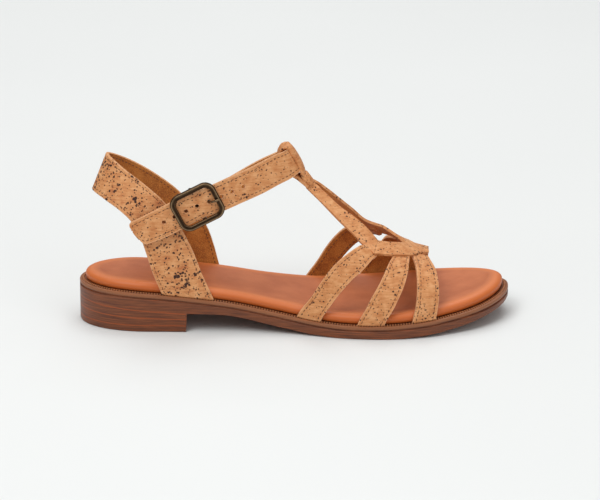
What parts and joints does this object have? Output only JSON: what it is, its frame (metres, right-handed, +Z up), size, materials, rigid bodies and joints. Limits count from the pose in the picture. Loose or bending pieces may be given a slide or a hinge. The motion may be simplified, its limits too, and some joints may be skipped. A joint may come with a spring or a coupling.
{
  "type": "t-strap sandal",
  "caption": "Right T-strap sandal with cork-covered straps, a padded footbed, a moulded sole with a low block heel and a buckled ankle strap.",
  "frame": {"origin": "centre of the heel's ground face", "axes": "+X from heel to toe, +Z up, -Y towards the outer side with the buckle"},
  "size_m": [0.252, 0.09, 0.1034],
  "materials": {
    "cork_fabric": "cork fabric with dark pits, on a tan lining",
    "footbed_leather": "matte tan leather over foam",
    "sole_rubber": "moulded rubber with a stacked-leather look",
    "antique_brass": "antiqued, satin",
    "holder_leather": "tan lining leather"
  },
  "bodies": {
    "root": {"outsole": "sole_rubber", "footbed": "footbed_leather", "front_upper": "cork_fabric", "heel_band": "cork_fabric", "ankle_strap": "cork_fabric", "buckle_frame": "antique_brass", "buckle_prong": "antique_brass", "buckle_tab": "holder_leather"}
  },
  "joints": []
}
